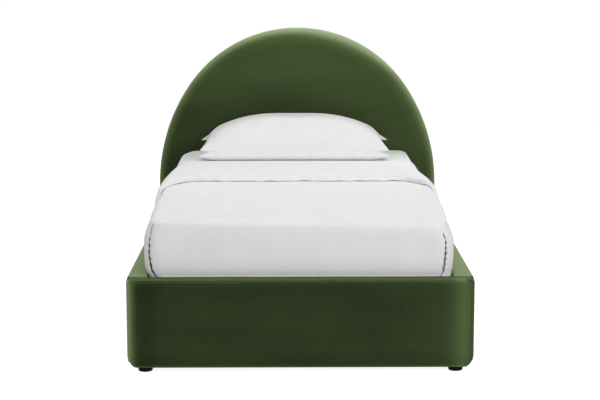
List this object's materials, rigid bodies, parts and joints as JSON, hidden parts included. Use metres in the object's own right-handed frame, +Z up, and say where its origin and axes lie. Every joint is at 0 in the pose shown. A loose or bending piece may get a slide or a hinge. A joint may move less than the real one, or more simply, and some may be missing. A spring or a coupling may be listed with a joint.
{
  "type": "platform bed",
  "caption": "Upholstered platform bed with an arched headboard, low velvet side rails, a slatted base, short round feet, and a made-up mattress with duvet and pillows.",
  "frame": {"origin": "on the floor, under the middle of the bed's overall length and width", "axes": "+X to the right of someone who stands at the foot and looks at the headboard, +Y from the foot to the headboard, +Z up"},
  "size_m": [1.225, 2.0776, 1.009],
  "materials": {
    "velvet": "short-pile velvet with a soft sheen",
    "foam": "open-cell foam",
    "core_wood": "planed softwood",
    "plywood": "sanded plywood",
    "slat_wood": "planed, unvarnished softwood",
    "black_steel": "matt powder coat",
    "zinc_steel": "bright zinc plate",
    "black_plastic": "fine moulded texture",
    "grey_plastic": "fine moulded texture",
    "webbing": "woven webbing",
    "ticking": "quilted ticking",
    "spring_steel": "drawn wire",
    "sheet_cotton": "plain weave cotton",
    "duvet_cotton": "plain weave cotton",
    "pillow_cotton": "plain weave cotton"
  },
  "bodies": {
    "frame": {"footboard_cover": "velvet", "left_rail_cover": "velvet", "right_rail_cover": "velvet", "headboard_cover": "velvet", "headboard_back_cover": "velvet", "footboard_foam": "foam", "left_rail_foam": "foam", "right_rail_foam": "foam", "headboard_foam": "foam", "footboard_core": "core_wood", "left_rail_core": "core_wood", "right_rail_core": "core_wood", "headboard_battens": "core_wood", "corner_blocks": "core_wood", "headboard_ply": "plywood", "left_ledge": "slat_wood", "right_ledge": "slat_wood", "centre_beam": "slat_wood", "centre_legs": "slat_wood", "slat_01": "slat_wood", "slat_02": "slat_wood", "slat_03": "slat_wood", "slat_04": "slat_wood", "slat_05": "slat_wood", "slat_06": "slat_wood", "slat_07": "slat_wood", "slat_08": "slat_wood", "slat_09": "slat_wood", "slat_10": "slat_wood", "slat_11": "slat_wood", "slat_12": "slat_wood", "slat_13": "slat_wood", "beam_hanger_foot": "black_steel", "beam_hanger_head": "black_steel", "bracket_front_left": "black_steel", "bracket_front_right": "black_steel", "bracket_back_left": "black_steel", "bracket_back_right": "black_steel", "frame_bolts": "zinc_steel", "threaded_inserts": "zinc_steel", "frame_screws": "zinc_steel", "foot_front_left": "black_plastic", "foot_front_right": "black_plastic", "foot_back_left": "black_plastic", "foot_back_right": "black_plastic", "slat_straps": "webbing"},
    "leveller_pad_body_1": {"leveller_pad_1": "grey_plastic"},
    "leveller_pad_body_2": {"leveller_pad_2": "grey_plastic"},
    "leveller_pad_body_3": {"leveller_pad_3": "grey_plastic"},
    "leveller_stud_body_1": {"leveller_stud_1": "zinc_steel"},
    "leveller_stud_body_2": {"leveller_stud_2": "zinc_steel"},
    "leveller_stud_body_3": {"leveller_stud_3": "zinc_steel"},
    "mattress": {"mattress_ticking": "ticking", "mattress_springs": "spring_steel", "mattress_border_wires": "spring_steel", "fitted_sheet": "sheet_cotton"},
    "duvet": {"duvet": "duvet_cotton"},
    "lower_pillow": {"lower_pillow": "pillow_cotton"},
    "upper_pillow": {"upper_pillow": "pillow_cotton"}
  },
  "joints": [
    {"name": "leveller_pad_travel_1", "type": "slide", "parent": "frame", "child": "leveller_pad_body_1", "axis": [0, 0, 1], "range_m": [0, 0.0051]},
    {"name": "leveller_stud_turn_1", "type": "hinge", "parent": "leveller_pad_body_1", "child": "leveller_stud_body_1", "pos_m": [0, -0.65542, 0.02], "axis": [0, 0, 1], "range_deg": [0, 1440]},
    {"name": "leveller_pad_travel_2", "type": "slide", "parent": "frame", "child": "leveller_pad_body_2", "axis": [0, 0, 1], "range_m": [0, 0.0051]},
    {"name": "leveller_stud_turn_2", "type": "hinge", "parent": "leveller_pad_body_2", "child": "leveller_stud_body_2", "pos_m": [0, -0.01375, 0.02], "axis": [0, 0, 1], "range_deg": [0, 1440]},
    {"name": "leveller_pad_travel_3", "type": "slide", "parent": "frame", "child": "leveller_pad_body_3", "axis": [0, 0, 1], "range_m": [0, 0.0051]},
    {"name": "leveller_stud_turn_3", "type": "hinge", "parent": "leveller_pad_body_3", "child": "leveller_stud_body_3", "pos_m": [0, 0.62792, 0.02], "axis": [0, 0, 1], "range_deg": [0, 1440]},
    {"name": "mattress_lift", "type": "slide", "parent": "frame", "child": "mattress", "axis": [0, 0, 1], "range_m": [0, 0.5]},
    {"name": "duvet_lift", "type": "slide", "parent": "mattress", "child": "duvet", "axis": [0, 0, 1], "range_m": [0, 0.3]},
    {"name": "lower_pillow_lift", "type": "slide", "parent": "mattress", "child": "lower_pillow", "axis": [0, 0, 1], "range_m": [0, 0.3]},
    {"name": "upper_pillow_lift", "type": "slide", "parent": "lower_pillow", "child": "upper_pillow", "axis": [0, 0, 1], "range_m": [0, 0.25]}
  ],
  "couplings": [
    {"joint": "leveller_pad_travel_1", "follows": "leveller_stud_turn_1", "m_per_rad": 0.00019894},
    {"joint": "leveller_pad_travel_2", "follows": "leveller_stud_turn_2", "m_per_rad": 0.00019894},
    {"joint": "leveller_pad_travel_3", "follows": "leveller_stud_turn_3", "m_per_rad": 0.00019894}
  ]
}
